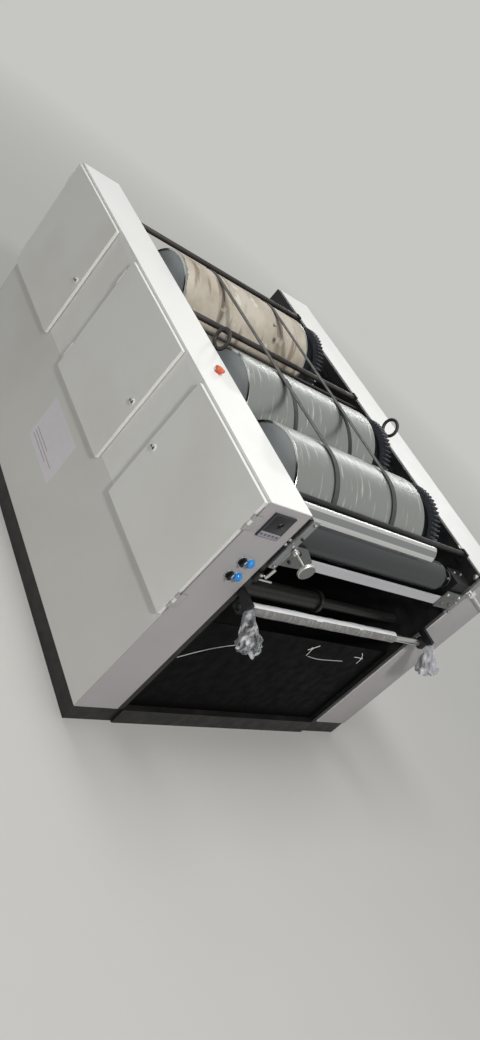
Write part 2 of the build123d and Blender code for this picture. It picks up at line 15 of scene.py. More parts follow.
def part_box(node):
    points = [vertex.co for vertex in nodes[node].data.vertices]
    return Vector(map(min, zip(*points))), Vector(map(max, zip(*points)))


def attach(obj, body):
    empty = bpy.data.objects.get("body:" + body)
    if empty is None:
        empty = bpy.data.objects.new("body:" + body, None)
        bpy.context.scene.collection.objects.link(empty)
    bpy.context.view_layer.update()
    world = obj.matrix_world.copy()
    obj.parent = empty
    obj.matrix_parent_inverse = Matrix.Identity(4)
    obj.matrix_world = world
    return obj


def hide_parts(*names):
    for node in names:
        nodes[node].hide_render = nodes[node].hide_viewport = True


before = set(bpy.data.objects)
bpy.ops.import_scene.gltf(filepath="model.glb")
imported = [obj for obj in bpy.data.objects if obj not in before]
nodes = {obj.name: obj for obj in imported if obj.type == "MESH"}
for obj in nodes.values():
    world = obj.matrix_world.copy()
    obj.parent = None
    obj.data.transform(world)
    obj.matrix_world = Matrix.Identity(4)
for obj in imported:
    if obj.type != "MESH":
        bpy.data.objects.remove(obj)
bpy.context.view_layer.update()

# %% [markdown]
# A press maker measures from one corner: x towards the infeed end, y from the outer face of
# the near cabinet to the far side, z up from the floor, in millimetres. The frame is in
# metres and starts under the middle of the press. One function turns the maker's measures
# into it, from the corner in which the near cabinet's cap ends.

# %% Places in millimetres
MM = 0.001
cap_low, cap_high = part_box("housing_cap_near")
CORNER = Vector((cap_high.x, cap_low.y, 0))
PLINTH_TOP = 78


def place(x, y, z):
    """A point of the press in millimetres, as a point of the frame in metres."""
    return CORNER + Vector((x, y, z)) * MM


print("the near cabinet's corner is at", [round(v, 3) for v in place(0, 0, PLINTH_TOP)])

# %% [markdown]
# The camera stands at the photograph's place. The phone was held with a strong roll, so the
# press leans across the tall frame. A camera's matrix holds its right, up and backward
# directions in its columns and its place in the last one. Found from the straight edges of
# the cabinets, they give that view better than angles typed by eye.

# %% Camera
CAMERA_PLACE = place(1391.9, -1738.7, 2021.0)
CAMERA_UP = Vector((-0.72620, -0.20783, 0.65532))
CAMERA_BACK = Vector((0.57744, -0.70169, 0.41736))
LENS, SENSOR_WIDTH = 29.24, 36


def into_scene(name, data):
    """A new object that shows this data in the scene."""
    made = bpy.data.objects.new(name, data)
    bpy.context.scene.collection.objects.link(made)
    return made


camera_data = bpy.data.cameras.new("camera")
camera_data.lens = LENS
camera_data.sensor_width = SENSOR_WIDTH
camera = into_scene("camera", camera_data)
right = CAMERA_UP.cross(CAMERA_BACK)
turned_view = Matrix((right, CAMERA_UP, CAMERA_BACK)).transposed().to_4x4()
camera.matrix_world = Matrix.Translation(CAMERA_PLACE) @ turned_view
bpy.context.scene.camera = camera
print("the camera is", round(CAMERA_PLACE.z, 2), "m above the floor")

# %% [markdown]
# Paint is mixed in sRGB, the way screens show it, but a renderer adds light up in linear numbers.
# One function turns a hex colour into linear. A second one adds any shader node with its settings
# and links. A third starts a material from the values that are the same all over it. The rest draw
# noise of a size in millimetres and let it change the colour, gloss or relief.

# %% Tools for finishes
def paint(hex_code):
    """An sRGB hex colour as a linear colour with alpha 1."""
    parts = [int(hex_code[i:i + 2], 16) / 255 for i in (1, 3, 5)]
    return [p / 12.92 if p <= 0.04045 else ((p + 0.055) / 1.055) ** 2.4 for p in parts] + [1]


def add(tree, kind, sockets=None, **settings):
    """Adds a node. Its sockets are set to values, hex colours or other nodes' outputs."""
    made = tree.nodes.new(kind)
    for name, value in settings.items():
        setattr(made, name, value)
    for name, value in (sockets or {}).items():
        if isinstance(value, bpy.types.NodeSocket):
            tree.links.new(value, made.inputs[name])
        else:
            made.inputs[name].default_value = paint(value) if isinstance(value, str) else value
    return made


def start_finish(name, hex_code, **values):
    """A new material with its colour and its even values set on the shader itself."""
    material = bpy.data.materials.new(name)
    material.use_nodes = True
    tree = material.node_tree
    shader = tree.nodes["Principled BSDF"]
    shader.inputs["Base Color"].default_value = paint(hex_code)
    for socket, value in values.items():
        shader.inputs[socket.replace("_", " ")].default_value = value
    material.diffuse_color = paint(hex_code)
    print(f"the finish {name} starts from {hex_code}")
    return material, tree, shader


def spots(tree, size_mm, detail=3.0, stretch=(1, 1, 1)):
    """Noise on the piece's own coordinates, with blotches of about this size."""
    where = add(tree, "ShaderNodeTexCoord").outputs["Object"]
    mapped = add(tree, "ShaderNodeMapping", {"Vector": where, "Scale": stretch}).outputs[0]
    sockets = {"Vector": mapped, "Scale": 1 / (size_mm * MM), "Detail": detail}
    return add(tree, "ShaderNodeTexNoise", sockets).outputs["Fac"]


def between(tree, factor, low, high, dark, light):
    """A value that goes from dark to light while the factor goes from low to high."""
    sockets = {"Value": factor, "From Min": low, "From Max": high, "To Min": dark, "To Max": light}
    return add(tree, "ShaderNodeMapRange", sockets).outputs["Result"]


def blend_paint(tree, factor, first, second):
    """A colour that goes from the first to the second, given as hex codes or sockets."""
    sockets = {"Factor": factor, 6: first, 7: second}
    return add(tree, "ShaderNodeMix", sockets, data_type="RGBA").outputs[2]


def tint(tree, shader, factor, first, second):
    """Lets a factor blend the surface's colour from the first to the second."""
    tree.links.new(blend_paint(tree, factor, first, second), shader.inputs["Base Color"])


def vary_gloss(tree, shader, pattern, smooth, rough, low=0.3, high=0.7):
    """Lets a pattern change the surface from smooth to rough."""
    tree.links.new(between(tree, pattern, low, high, smooth, rough), shader.inputs["Roughness"])


def dents(tree, shader, height, depth_mm, strength=1.0):
    """Raises the surface by a height pattern, as a bump of that depth."""
    sockets = {"Height": height, "Distance": depth_mm * MM, "Strength": strength}
    bump = add(tree, "ShaderNodeBump", sockets)
    tree.links.new(bump.outputs[0], shader.inputs["Normal"])


print("white paint in linear numbers:", [round(v, 2) for v in paint("#E6E5E1")[:3]])

# %% [markdown]
# The cabinets are sheet steel with a powder coat: dry paint is sprayed on and baked, and it
# flows into a thick, slightly rippled skin called orange peel, even and satin to the eye.
# The ripples are 2 to 3 mm wide, but drawn at 6 mm, because finer ones vanish at the camera's
# distance. The doors and posts, the lower sheet, the caps and the ends get four tones of it: the
# caps are a little whiter, the lower sheet and the ends darker.

# %% Powder coat on the cabinets
PEEL_MM, GLOSS_MM, DUST_MM = 6, 90, 420


def powder_coat(name, hex_code, grime):
    """Baked powder paint with orange peel and a faint uneven film of dust."""
    material, tree, shader = start_finish(name, hex_code, IOR=1.5)
    dust = between(tree, spots(tree, DUST_MM, 5), 0.45, 0.75, 0.0, 0.55)
    tint(tree, shader, dust, hex_code, grime)
    vary_gloss(tree, shader, spots(tree, GLOSS_MM, 4), 0.36, 0.46)
    dents(tree, shader, spots(tree, PEEL_MM, 1), 0.05, 0.5)
    return material


white_coat = powder_coat("powder_coat_light_grey_white", "#EDECE7", "#DDDAD2")
side_coat = powder_coat("powder_coat_grey_white_sides", "#DDDCD7", "#D0CDC5")
cap_coat = powder_coat("powder_coat_white_caps", "#EFEFEB", "#E4E3DC")
end_coat = powder_coat("powder_coat_warm_grey_ends", "#B2ADAE", "#A7A3A3")

# %% [markdown]
# The side plates, the base and the cross bars are mild steel, brushed over with black
# enamel. It isn't quite black: dust lies on it, and it is worn thin in places. A coarse
# noise lightens the colour, and a finer one makes the gloss uneven. The closing panels only
# have a dull primer, which mirrors almost nothing.

# %% Black enamel on plates, base and bars
WORN_MM, BRUSHED_MM, BRISTLE_MM = 130, 45, 9


def brushed_enamel(name, hex_code, dusty, depth_mm=0.12, **values):
    """Brush-painted steel with thin dust."""
    material, tree, shader = start_finish(name, hex_code, IOR=1.5, **values)
    dust = between(tree, spots(tree, WORN_MM, 6), 0.42, 0.72, 0.0, 0.7)
    tint(tree, shader, dust, hex_code, dusty)
    vary_gloss(tree, shader, spots(tree, BRUSHED_MM, 4), 0.38, 0.62)
    dents(tree, shader, spots(tree, BRISTLE_MM, 3), depth_mm, 0.5)
    return material


plate_black = brushed_enamel("black_enamel_on_steel", "#0E0F10", "#191919")
panel_black = brushed_enamel("black_primer_closing_panels", "#08080A", "#0A0A0B", 0.004,
                             Specular_IOR_Level=0.04)
floor_black = brushed_enamel("black_enamel_dusty_base", "#121110", "#242220")
bar_brown = brushed_enamel("black_enamel_worn_cross_bars", "#2B2725", "#463F3A")

# %% [markdown]
# The drums are ground steel. A grinding wheel leaves hairlines round them, and handling
# leaves short pale marks the same way. So the pattern needs coordinates that run round the
# axle: the angle times the radius, then the place along the drum. Noise that is squeezed
# in the first of them draws both. A metal's colour is its base colour, so the IOR keeps its
# default, and the hairlines only change the roughness.

# %% Ground steel on the drums
DRUM_X = {1: -1395, 2: -735, 3: -330}
DRUM_Z, DRUM_RADIUS, DRUM_MIDDLE_Y = 961, 200, 600


def streaks(tree, number, squeeze, scale, detail):
    """Noise on coordinates that run round one drum's axle, squeezed, and along it."""
    where = add(tree, "ShaderNodeTexCoord").outputs["Object"]
    axle = place(DRUM_X[number], DRUM_MIDDLE_Y, DRUM_Z)
    offset = add(tree, "ShaderNodeVectorMath", {0: where, 1: axle}, operation="SUBTRACT")
    parts = add(tree, "ShaderNodeSeparateXYZ", {0: offset.outputs[0]}).outputs
    angle = add(tree, "ShaderNodeMath", {0: parts[2], 1: parts[0]}, operation="ARCTAN2")
    turn = {0: angle.outputs[0], 1: DRUM_RADIUS * MM * squeeze}
    run = add(tree, "ShaderNodeMath", turn, operation="MULTIPLY").outputs[0]
    rolled = add(tree, "ShaderNodeCombineXYZ", {0: run, 1: parts[1]}).outputs[0]
    sockets = {"Vector": rolled, "Scale": scale, "Detail": detail}
    return add(tree, "ShaderNodeTexNoise", sockets).outputs["Fac"]


def ground_steel(number):
    """Bare steel with hairlines and short pale marks that run round one drum's axle."""
    steel, mark = "#A8ACA9", "#E8E9E6"
    material, tree, shader = start_finish(f"steel_ground_drum_{number}", steel, Metallic=1.0)
    hairs = streaks(tree, number, 0.02, 260, 3)
    vary_gloss(tree, shader, hairs, 0.28, 0.38, 0.35, 0.65)
    marks = between(tree, streaks(tree, number, 0.09, 75, 2), 0.6, 0.69, 0.0, 0.9)
    tint(tree, shader, marks, steel, mark)
    dents(tree, shader, hairs, 0.006, 0.2)
    return material


drum_steel = {f"drum_{number}": ground_steel(number) for number in DRUM_X}

# %% [markdown]
# The smaller metal parts differ in how they were made. Shafts are bright drawn bar, slides
# and brackets are zinc-plated, with the cloudy patches of plating, the guard is brushed
# aluminium, and the hand knob is a satin casting. All share one recipe: a metal's own
# colour, a roughness that varies over some millimetres, and a little relief.

# %% Bright, plated and cast metals
def plain_metal(name, hex_code, smooth, rough, patch_mm, stretch=(1, 1, 1), depth_mm=0.03):
    """A bare metal whose gloss varies in patches of a given size."""
    material, tree, shader = start_finish(name, hex_code, Metallic=1.0)
    vary_gloss(tree, shader, spots(tree, patch_mm, 4, stretch), smooth, rough)
    dents(tree, shader, spots(tree, patch_mm / 4, 2, stretch), depth_mm, 0.5)
    return material


bright_bar = plain_metal("steel_bright_drawn_bar", "#C4C5C3", 0.16, 0.3, 20, (1, 0.2, 1))
zinc_plate = plain_metal("steel_zinc_plated", "#A3A5A6", 0.34, 0.52, 14)
brushed_guard = plain_metal("aluminium_brushed_guard", "#A2A3A6", 0.3, 0.4, 8, (1, 0.04, 1), 0.004)
# A brighter copy of the guard's aluminium, as a painted highlight on its top and lowest band.
guard_painted_highlight = plain_metal("aluminium_guard_top_and_nose_painted_highlight", "#E4E4E3", 0.3, 0.4, 8, (1, 0.04, 1),
                           0.004)
cast_knob = plain_metal("aluminium_cast_satin", "#D6D6D2", 0.28, 0.42, 18)
# The knob's face gets a darker, duller copy of the cast aluminium: the darker colour is painted
# shade.
knob_face_in_painted_shade = plain_metal("aluminium_knob_face_dull_painted_shade", "#8E8F8C", 0.4, 0.6, 5, (1, 1, 1), 0.08)
# The brackets get a darker, rougher zinc: the darker colour is painted shade.
zinc_painted_shade = plain_metal("steel_zinc_brackets_painted_shade", "#7E807E", 0.4, 0.6, 14)

# %% [markdown]
# The gears are blackened steel with old grease: dark, half matt, and shiny only on the
# faces that rub. The belts are dark grey rubber with a fabric back. The infeed roller
# has a thick grey rubber cover that was ground smooth, so it shows one soft highlight.

# %% Blackened gears, rubber belts and the roller's cover
gear_black, tree, shader = start_finish("steel_blackened_greasy", "#4A4D52", Metallic=0.5)
vary_gloss(tree, shader, spots(tree, 40, 4), 0.32, 0.58, 0.35, 0.65)
dents(tree, shader, spots(tree, 6, 2), 0.08, 0.4)

belt_rubber, tree, shader = start_finish("rubber_belt_dark_grey", "#40403E", IOR=1.52)
tint(tree, shader, spots(tree, 30, 4), "#353533", "#4E4E4B")
vary_gloss(tree, shader, spots(tree, 20, 2), 0.5, 0.75)
dents(tree, shader, spots(tree, 2.5, 2), 0.15, 0.6)

roller_rubber, tree, shader = start_finish("rubber_ground_roller_cover", "#303234", IOR=1.52)
cover = spots(tree, 70, 4, (1, 0.25, 1))
tint(tree, shader, cover, "#292B2D", "#35383A")
vary_gloss(tree, shader, cover, 0.3, 0.42)
dents(tree, shader, spots(tree, 3, 2), 0.03, 0.4)

# %% [markdown]
# Small parts have moulded or painted finishes. The flat bar has a thin coat of grey paint.
# The screen's frame is textured ABS, the buttons are glossy moulded plastic, the stop
# button is red nylon, and the rolled stock inside the press is only a dark shape.

# %% Moulded plastics and grey paint
bar_grey = powder_coat("paint_light_grey_flat_bar", "#CAC9CC", "#BBBABD")


def moulded(name, hex_code, roughness, grain_mm=1.5, depth_mm=0.05):
    """Injection-moulded plastic with the fine grain of its mould."""
    material, tree, shader = start_finish(name, hex_code, IOR=1.53)
    vary_gloss(tree, shader, spots(tree, 12, 3), roughness * 0.8, roughness * 1.2)
    dents(tree, shader, spots(tree, grain_mm, 1), depth_mm, 0.4)
    return material


screen_abs = moulded("abs_textured_screen_frame", "#2C2D32", 0.42)
knob_black = moulded("nylon_black_selector", "#17181A", 0.35)
button_blue = moulded("plastic_blue_push_button", "#2A8FE0", 0.14, 6)
stop_red = moulded("nylon_red_stop_button", "#D2603C", 0.4)
roll_dark = moulded("board_dark_rolled_stock", "#191817", 0.42, 5)

# %% [markdown]
# Each solid that keeps its shape now gets its finish. A table says which solid wears what,
# so a change of mind is one line. The mesh is left alone: only the material in its slot is
# exchanged, which keeps the solid's place and motion.

# %% Give the solids their finishes
wears = {
    white_coat: ["housing_posts", "door_1", "door_2", "door_3"],
    side_coat: ["housing_lower_sheet"],
    cap_coat: ["housing_cap_near", "housing_cap_far", "far_lever"],
    end_coat: ["housing_end_front", "housing_end_rear"],
    plate_black: ["side_plate_near", "side_plate_far", "shaft_arms", "tie_bar_mounts",
                  "drum_bearings_near", "drum_bearings_far", "idler_studs"],
    panel_black: ["closing_panels"],
    floor_black: ["base_beams", "base_rails"],
    bar_brown: ["guide_rod"],
    **{material: [drum] for drum, material in drum_steel.items()},
    bright_bar: ["drum_shaft_1", "drum_shaft_2", "drum_shaft_3", "lower_shaft"],
    gear_black: ["drum_gear_1", "drum_gear_2", "drum_gear_3", "idler_gear_large",
                 "idler_gear_small"],
    belt_rubber: ["belts"],
    roller_rubber: ["infeed_roller"],
    screen_abs: ["operator_screen"],
    roll_dark: ["inner_shaft"],
}
for material, names in wears.items():
    for name in names:
        slots = nodes[name].data.materials
        slots.clear()
        slots.append(material)
dressed = sum(len(names) for names in wears.values())
print(dressed, "of", len(nodes), "solids have their finish")

# %% [markdown]
# The floor is a plain pale sheet, large enough that its edge lies far behind the press. A dark
# sheet on it under the press is painted shade, so that no light comes up between the side plates.
# The room gives soft light from all sides. A long lamp overhead makes the tops bright, and tubes
# beyond the far side draw the thin bright line near the top of every drum and shaft. A small
# strong lamp high beyond the infeed end lights the doors' edges, with crisp shadows because it is
# small.

# %% Floor, room and lamps
BACKDROP, ROOM_COLOUR, ROOM_STRENGTH = "#C6C6C3", "#E8ECEF", 0.285
FLOOR_REACH, FADE_FROM, FADE_TO = 60, 1.3, 7.0


def seen_directly(tree):
    """1 for rays that show the background: camera, glossy and transmission rays."""
    path, seen = add(tree, "ShaderNodeLightPath").outputs, 0
    for ray in ("Camera", "Glossy", "Transmission"):
        terms = {0: seen, 1: path[f"Is {ray} Ray"]}
        seen = add(tree, "ShaderNodeMath", terms, operation="ADD", use_clamp=True).outputs[0]
    return seen


def finished_mesh(form, name, *finishes):
    """The mesh of a bmesh, with the finishes that its faces number. It frees the bmesh."""
    mesh = bpy.data.meshes.new(name)
    form.to_mesh(mesh)
    form.free()
    for finish in finishes:
        mesh.materials.append(finish)
    return mesh


def level_sheet(name, low, high, finish):
    """A sheet of floor between two corners in metres."""
    form = bmesh.new()
    form.faces.new([form.verts.new((x, y, low.z)) for x, y in
                    ((low.x, low.y), (high.x, low.y), (high.x, high.y), (low.x, high.y))])
    into_scene(name, finished_mesh(form, name, finish))


pale_floor, tree, shader = start_finish("concrete_painted_pale_floor", "#CFCDC8", Roughness=0.75)
tint(tree, shader, spots(tree, 900, 4), "#CBC9C4", "#D3D1CD")
where = add(tree, "ShaderNodeTexCoord").outputs["Object"]
distance = add(tree, "ShaderNodeVectorMath", {0: where}, operation="LENGTH").outputs["Value"]
fade = between(tree, distance, FADE_FROM, FADE_TO, 0.0, 1.0)
factors = {0: fade, 1: seen_directly(tree)}
share = add(tree, "ShaderNodeMath", factors, operation="MULTIPLY").outputs[0]
plain = add(tree, "ShaderNodeEmission", {"Color": BACKDROP, "Strength": 1.0}).outputs[0]
mixed = add(tree, "ShaderNodeMixShader", {0: share, 1: shader.outputs[0], 2: plain})
tree.links.new(mixed.outputs[0], tree.nodes["Material Output"].inputs["Surface"])
level_sheet("floor", Vector((-FLOOR_REACH, -FLOOR_REACH, 0)),
            Vector((FLOOR_REACH, FLOOR_REACH, 0)), pale_floor)

# Painted shade: a dark sheet under the press, where only shade lies.
shade_sheet_finish, tree, shader = start_finish("painted_shade_under_press", "#1B1A18", Roughness=0.7)
tint(tree, shader, spots(tree, 300, 4), "#151413", "#24221F")
level_sheet("painted_shade_sheet_below_press", place(-1950, 190, 2), place(-40, 1300, 2), shade_sheet_finish)

world = bpy.data.worlds.new("soft_room")
world.use_nodes = True
bpy.context.scene.world = world
tree = world.node_tree
room = tree.nodes["Background"]
room.inputs["Color"].default_value = paint(ROOM_COLOUR)
room.inputs["Strength"].default_value = ROOM_STRENGTH
backdrop = add(tree, "ShaderNodeBackground", {"Color": BACKDROP, "Strength": 1.0})
shown = {0: seen_directly(tree), 1: room.outputs[0], 2: backdrop.outputs[0]}
either = add(tree, "ShaderNodeMixShader", shown)
tree.links.new(either.outputs[0], tree.nodes["World Output"].inputs["Surface"])


def soft_lamp(name, start, aim, width, depth, watts):
    """A rectangular lamp at a place in metres that faces the aimed point."""
    lamp = bpy.data.lights.new(name, "AREA")
    lamp.shape = "RECTANGLE"
    lamp.size, lamp.size_y, lamp.energy = width, depth, watts
    holder = into_scene(name, lamp)
    holder.location = start
    towards = Vector(aim) - Vector(start)
    holder.rotation_euler = towards.to_track_quat("-Z", "Y").to_euler()


soft_lamp("lamp_overhead", (0.1, -0.7, 4.7), (0.0, -0.2, 0.8), 2.6, 0.8, 72)
soft_lamp("lamp_far_row", (-3.0, 4.2, 2.8), (-0.3, 0, 0.9), 3.4, 0.25, 26)
soft_lamp("lamp_infeed_side", (4.4, -2.5, 5.1), (0.0, -0.4, 0.8), 0.6, 0.6, 178)
bpy.context.scene.view_settings.view_transform = "Standard"
print("two sheets of floor, an even room and three soft lamps")

# %% [markdown]
# Every new piece is made in a bmesh in millimetres, then handed to the press by one
# function: it scales the mesh to metres, welds it, turns the faces outward, gives the
# finish, shades it smooth with crisp corners, and makes it ride on the body that carries
# it. The object itself stays at the origin. The other tools make and join parts of a form.

# %% Tools for new pieces
INFEED, NEAR, UP = (1, 0, 0), (0, -1, 0), (0, 0, 1)
WELD_MM, CORNER_ANGLE = 0.002, 0.9


def hand_over(form, name, slot, *finishes, body="frame", smooth=32):
    """Makes a piece from a bmesh in the press's own millimetres, riding on a body."""
    bmesh.ops.remove_doubles(form, verts=form.verts, dist=WELD_MM)
    bmesh.ops.recalc_face_normals(form, faces=form.faces)
    for vert in form.verts:
        vert.co = place(*vert.co)
    mesh = finished_mesh(form, name, *finishes)
    mesh.shade_smooth()
    mesh.set_sharp_from_angle(angle=radians(smooth))
    piece = into_scene(name, mesh)
    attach(piece, body)
    print(f"{name} rides on {body} and has {len(mesh.polygons)} faces")
    return piece


def gather(form, part, finish=0, matrix=None):
    """Adds a part to a form, with one of the form's finishes, moved by a matrix."""
    if matrix is not None:
        bmesh.ops.transform(part, matrix=matrix, verts=part.verts)
    for face in part.faces:
        face.material_index = finish
    carrier = finished_mesh(part, "carrier")
    form.from_mesh(carrier)
    bpy.data.meshes.remove(carrier)
    return form


def facing(centre, direction):
    """A matrix that stands a shape's z axis along a direction, with its foot at a centre."""
    turn = Vector(direction).to_track_quat("Z", "Y").to_matrix().to_4x4()
    return Matrix.Translation(centre) @ turn


def turned(profile, steps=32):
    """A turned shape about z from (height, radius) pairs. A radius of 0 closes an end."""
    form = bmesh.new()
    corners = [form.verts.new((radius, 0, height)) for height, radius in profile]
    edges = [form.edges.new(pair) for pair in zip(corners, corners[1:])]
    bmesh.ops.spin(form, geom=corners + edges, cent=(0, 0, 0), axis=(0, 0, 1),
                   angle=tau, steps=steps, use_merge=True, use_duplicate=False)
    bmesh.ops.remove_doubles(form, verts=form.verts, dist=0.001)
    bmesh.ops.recalc_face_normals(form, faces=form.faces)
    return form


def round_edges(form, edges, radius, segments=2):
    """Rounds these edges of a form by a bevel."""
    bmesh.ops.bevel(form, geom=edges, offset=radius, offset_type="OFFSET", segments=segments,
                    profile=0.5, affect="EDGES", material=-1)


def slab(x, y, z, edge=0.6, segments=2):
    """A block between pairs of bounds, with rounded edges."""
    form = bmesh.new()
    bmesh.ops.create_cube(form, size=1)
    size = [high - low for low, high in (x, y, z)]
    middle = [(high + low) / 2 for low, high in (x, y, z)]
    matrix = Matrix.Translation(middle) @ Matrix.Diagonal((*size, 1))
    bmesh.ops.transform(form, matrix=matrix, verts=form.verts)
    if edge:
        round_edges(form, form.edges[:], edge, segments)
    return form


def solid_copy(node, edge, choose):
    """A copy of a solid in millimetres, its long edges rounded, its finishes by a rule."""
    form = bmesh.new()
    form.from_mesh(nodes[node].data)
    for vert in form.verts:
        vert.co = (vert.co - CORNER) / MM
    bmesh.ops.remove_doubles(form, verts=form.verts, dist=0.01)
    bmesh.ops.dissolve_limit(form, angle_limit=0.01, verts=form.verts, edges=form.edges)
    sharp = [e for e in form.edges if e.is_manifold and e.calc_face_angle() > CORNER_ANGLE]
    round_edges(form, [e for e in sharp if e.calc_length() > 3 * edge], edge)
    for face in form.faces:
        face.material_index = choose(face, face.calc_center_median())
    return form


print("seven tools, from hand_over to solid_copy")

# %% [markdown]
# Each kind of screw has its own outline: a socket screw is a tall cylinder with a hole for
# its key, a dome bolt is low and round on a washer, and a hex nut has flat sides and shows
# the end of its stud. All are turned profiles for a head of radius 1, with their number of
# steps. A nut is the same spin in only six steps, which makes its flats.

# %% Screws, bolts and nuts
SOCKET_SCREW = [([(0, 0), (0, 1), (1.1, 1), (1.3, 0.86), (1.3, 0.5), (0.5, 0.46), (0.5, 0)], 16)]
DOME_BOLT = [([(0, 0), (0, 1.25), (0.2, 1.25), (0.2, 1), (0.6, 0.86), (0.85, 0.5), (0.92, 0)], 16)]
HEX_NUT = [([(0, 0), (0, 1), (0.75, 1), (0.85, 0.88), (0.85, 0)], 6),
           ([(0.8, 0), (0.8, 0.52), (1.3, 0.52), (1.4, 0.4), (1.4, 0)], 12)]


def fasten(form, kind, r, spots_mm, direction, finish=0):
    """Sets one screw with a head of radius r at each spot, pointing in a direction."""
    for spot in spots_mm:
        for profile, steps in kind:
            head = turned([(height * r, radius * r) for height, radius in profile], steps)
            gather(form, head, finish, facing(spot, direction))


print("three kinds of fastener")

# %% [markdown]
# Stretch film came round the shafts' bearings for the journey, and its ends were gathered
# into loose bags. Polyethylene film is clear where one looks straight through it, and white
# where it is seen edge-on or where folds lie on each other. So its alpha is the larger of
# two values: a noise for the folds, and a Layer Weight that grows towards the edges. Both
# see the same relief, and the smooth surface glints on its creases.

# %% Clear film
def film_finish(name, first, second, clear, milky, fold_mm, stretch, depth_mm):
    """Thin polyethylene film, glossy all over, milky where folds lie on each other."""
    material, tree, shader = start_finish(name, first, Roughness=0.1, IOR=1.51)
    folds = spots(tree, fold_mm, 5, stretch)
    dents(tree, shader, folds, depth_mm, 0.9)
    relief = shader.inputs["Normal"].links[0].from_socket
    edge_on = add(tree, "ShaderNodeLayerWeight", {"Blend": 0.3, "Normal": relief})
    haze = between(tree, folds, 0.46, 0.62, clear, milky)
    either = {0: haze, 1: edge_on.outputs["Facing"]}
    alpha = add(tree, "ShaderNodeMath", either, operation="MAXIMUM").outputs[0]
    tree.links.new(alpha, shader.inputs["Alpha"])
    tint(tree, shader, haze, first, second)
    return material


bag_film = film_finish("film_clear_crumpled", "#9DA0A4", "#F6F6F8", 0.05, 0.9, 30,
                       (1, 1, 0.5), 8)
dull_film = film_finish("film_milky_crumpled", "#66676B", "#C6C6CA", 0.75, 1.0, 24,
                        (1, 1, 0.5), 8)
wrap_film = film_finish("film_milky_stretched", "#4C4A48", "#92908D", 0.8, 1.0, 9,
                        (0.25, 1, 0.25), 2)
# A whiter copy of the film, as a painted highlight along the top of the shaft.
film_painted_top_highlight = film_finish("film_white_painted_highlight_on_top", "#B2B0AD", "#F4F4F3", 0.95, 1.0, 7,
                       (1, 0.04, 1), 1)

# %% [markdown]
# A bag starts as a turned cone with closed ends. Pleats run down it, deeper towards the
# foot, and ridged noise crumples it: it folds over where its value passes zero, and film
# creases in such sharp crests. The facets stay flat, so that each one glints alone. The
# brown block in each bag shows through the near one, while the far one is of duller film.

# %% Film bags on the shaft arms
NEAR_ARM_END, FAR_ARM_END = (72, 204, 743), (72, 1291, 743)


def round_noise(angle, around, along):
    """Noise that closes on itself round an axis, because it is taken on a circle."""
    return noise.noise(Vector((cos(angle) * around, sin(angle) * around, along)))


def crumple(form, size, depth, seed):
    """Pushes each point along its normal by ridged noise, which folds in sharp lines."""
    form.normal_update()
    for vert in form.verts:
        spot = Vector(vert.co) / size + Vector((seed, seed * 2, 0))
        ridge = 1 - 2 * abs(noise.noise(spot)) - 0.6 * abs(noise.noise(spot * 2.3))
        vert.co += vert.normal * depth * (ridge - 0.3)


def film_bag(name, film_kind, start, reach, radii, pleats, seed):
    """A gathered bag of film from an arm's end along its reach, with a part inside it."""
    length = Vector(reach).length
    belly, foot = radii
    profile = [(0, 0), (0, 13), (8, 14), (length * 0.3, belly * 0.42),
               (length * 0.6, belly * 0.66), (length * 0.82, belly * 0.9),
               (length * 0.97, foot), (length, foot * 0.75), (length * 0.93, foot * 0.4),
               (length * 0.9, 0)]
    film = turned(profile, steps=30)
    bmesh.ops.subdivide_edges(film, edges=film.edges[:], cuts=1, use_grid_fill=True)
    for vert in film.verts:
        down = max(0, min(1, vert.co.z / length))
        angle = atan2(vert.co.y, vert.co.x)
        wave = sin(pleats * angle + 5 * noise.noise(Vector((seed, down * 2, 0))))
        drift = noise.noise(Vector((cos(angle), sin(angle) + down, seed)))
        vert.co.xy *= 1 + down * (0.2 * wave + 0.5 * drift)
        if down > 0.85:
            vert.co.z += 12 * round_noise(angle, 2, seed)
    crumple(film, 26, 8, seed)
    bmesh.ops.triangulate(film, faces=film.faces)
    form = gather(bmesh.new(), film, 0, facing(start, reach))
    half = foot * 0.5
    inside = slab((-half, half), (-0.8 * half, 0.8 * half), (length * 0.5, length * 0.8), 4)
    gather(form, inside, 1, facing(start, reach))
    for vert in form.verts:
        vert.co.x = max(vert.co.x, start[0] + 0.3)
    return hand_over(form, name, "clear_film", film_kind, packed_part, smooth=24)


packed_part = moulded("phenolic_brown_packed_sensor", "#6B5F56", 0.5)
near_bag = film_bag("film_bag_near", bag_film, NEAR_ARM_END, (62, 80, -116), (46, 36), 7, 1.3)
far_bag = film_bag("film_bag_far", dull_film, FAR_ARM_END, (70, 26, -86), (50, 44), 6, 4.1)
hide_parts("wrapped_bundle_near")
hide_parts("wrapped_bundle_far")

# %% [markdown]
# The lower shaft is still in its film, which a machine wound on in overlapping turns. It wrinkles
# along the shaft where they are loose, so a turned tube with many rings gets low wrinkles from
# noise that is stretched along it, and torn, wavy ends. Along the top the film gets a whiter copy
# of its finish as a painted highlight: the angle of a face round the shaft tells it.
# top, where the film is double and whiter: the angle of a face round the shaft tells it.

# %% Film on the lower shaft
LOWER_SHAFT_X, LOWER_SHAFT_Z, LOWER_SHAFT_RADIUS = 41, 719, 15.3
FILM_START, FILM_END, FILM_RADIUS = 250, 1076, 22.8
TOP_HIGHLIGHT_FROM, TOP_HIGHLIGHT_TO = -75, 32


def rings(start, end, radius, count):
    """A straight profile of many points, so that the turned tube can be dented."""
    return [(start + (end - start) * i / count, radius) for i in range(count + 1)]


def lay_along_y(form, x, z):
    """Lays a shape that was turned about z along the press's y axis."""
    matrix = Matrix.Translation((x, 0, z)) @ Matrix.Rotation(-pi / 2, 4, "X")
    bmesh.ops.transform(form, matrix=matrix, verts=form.verts)


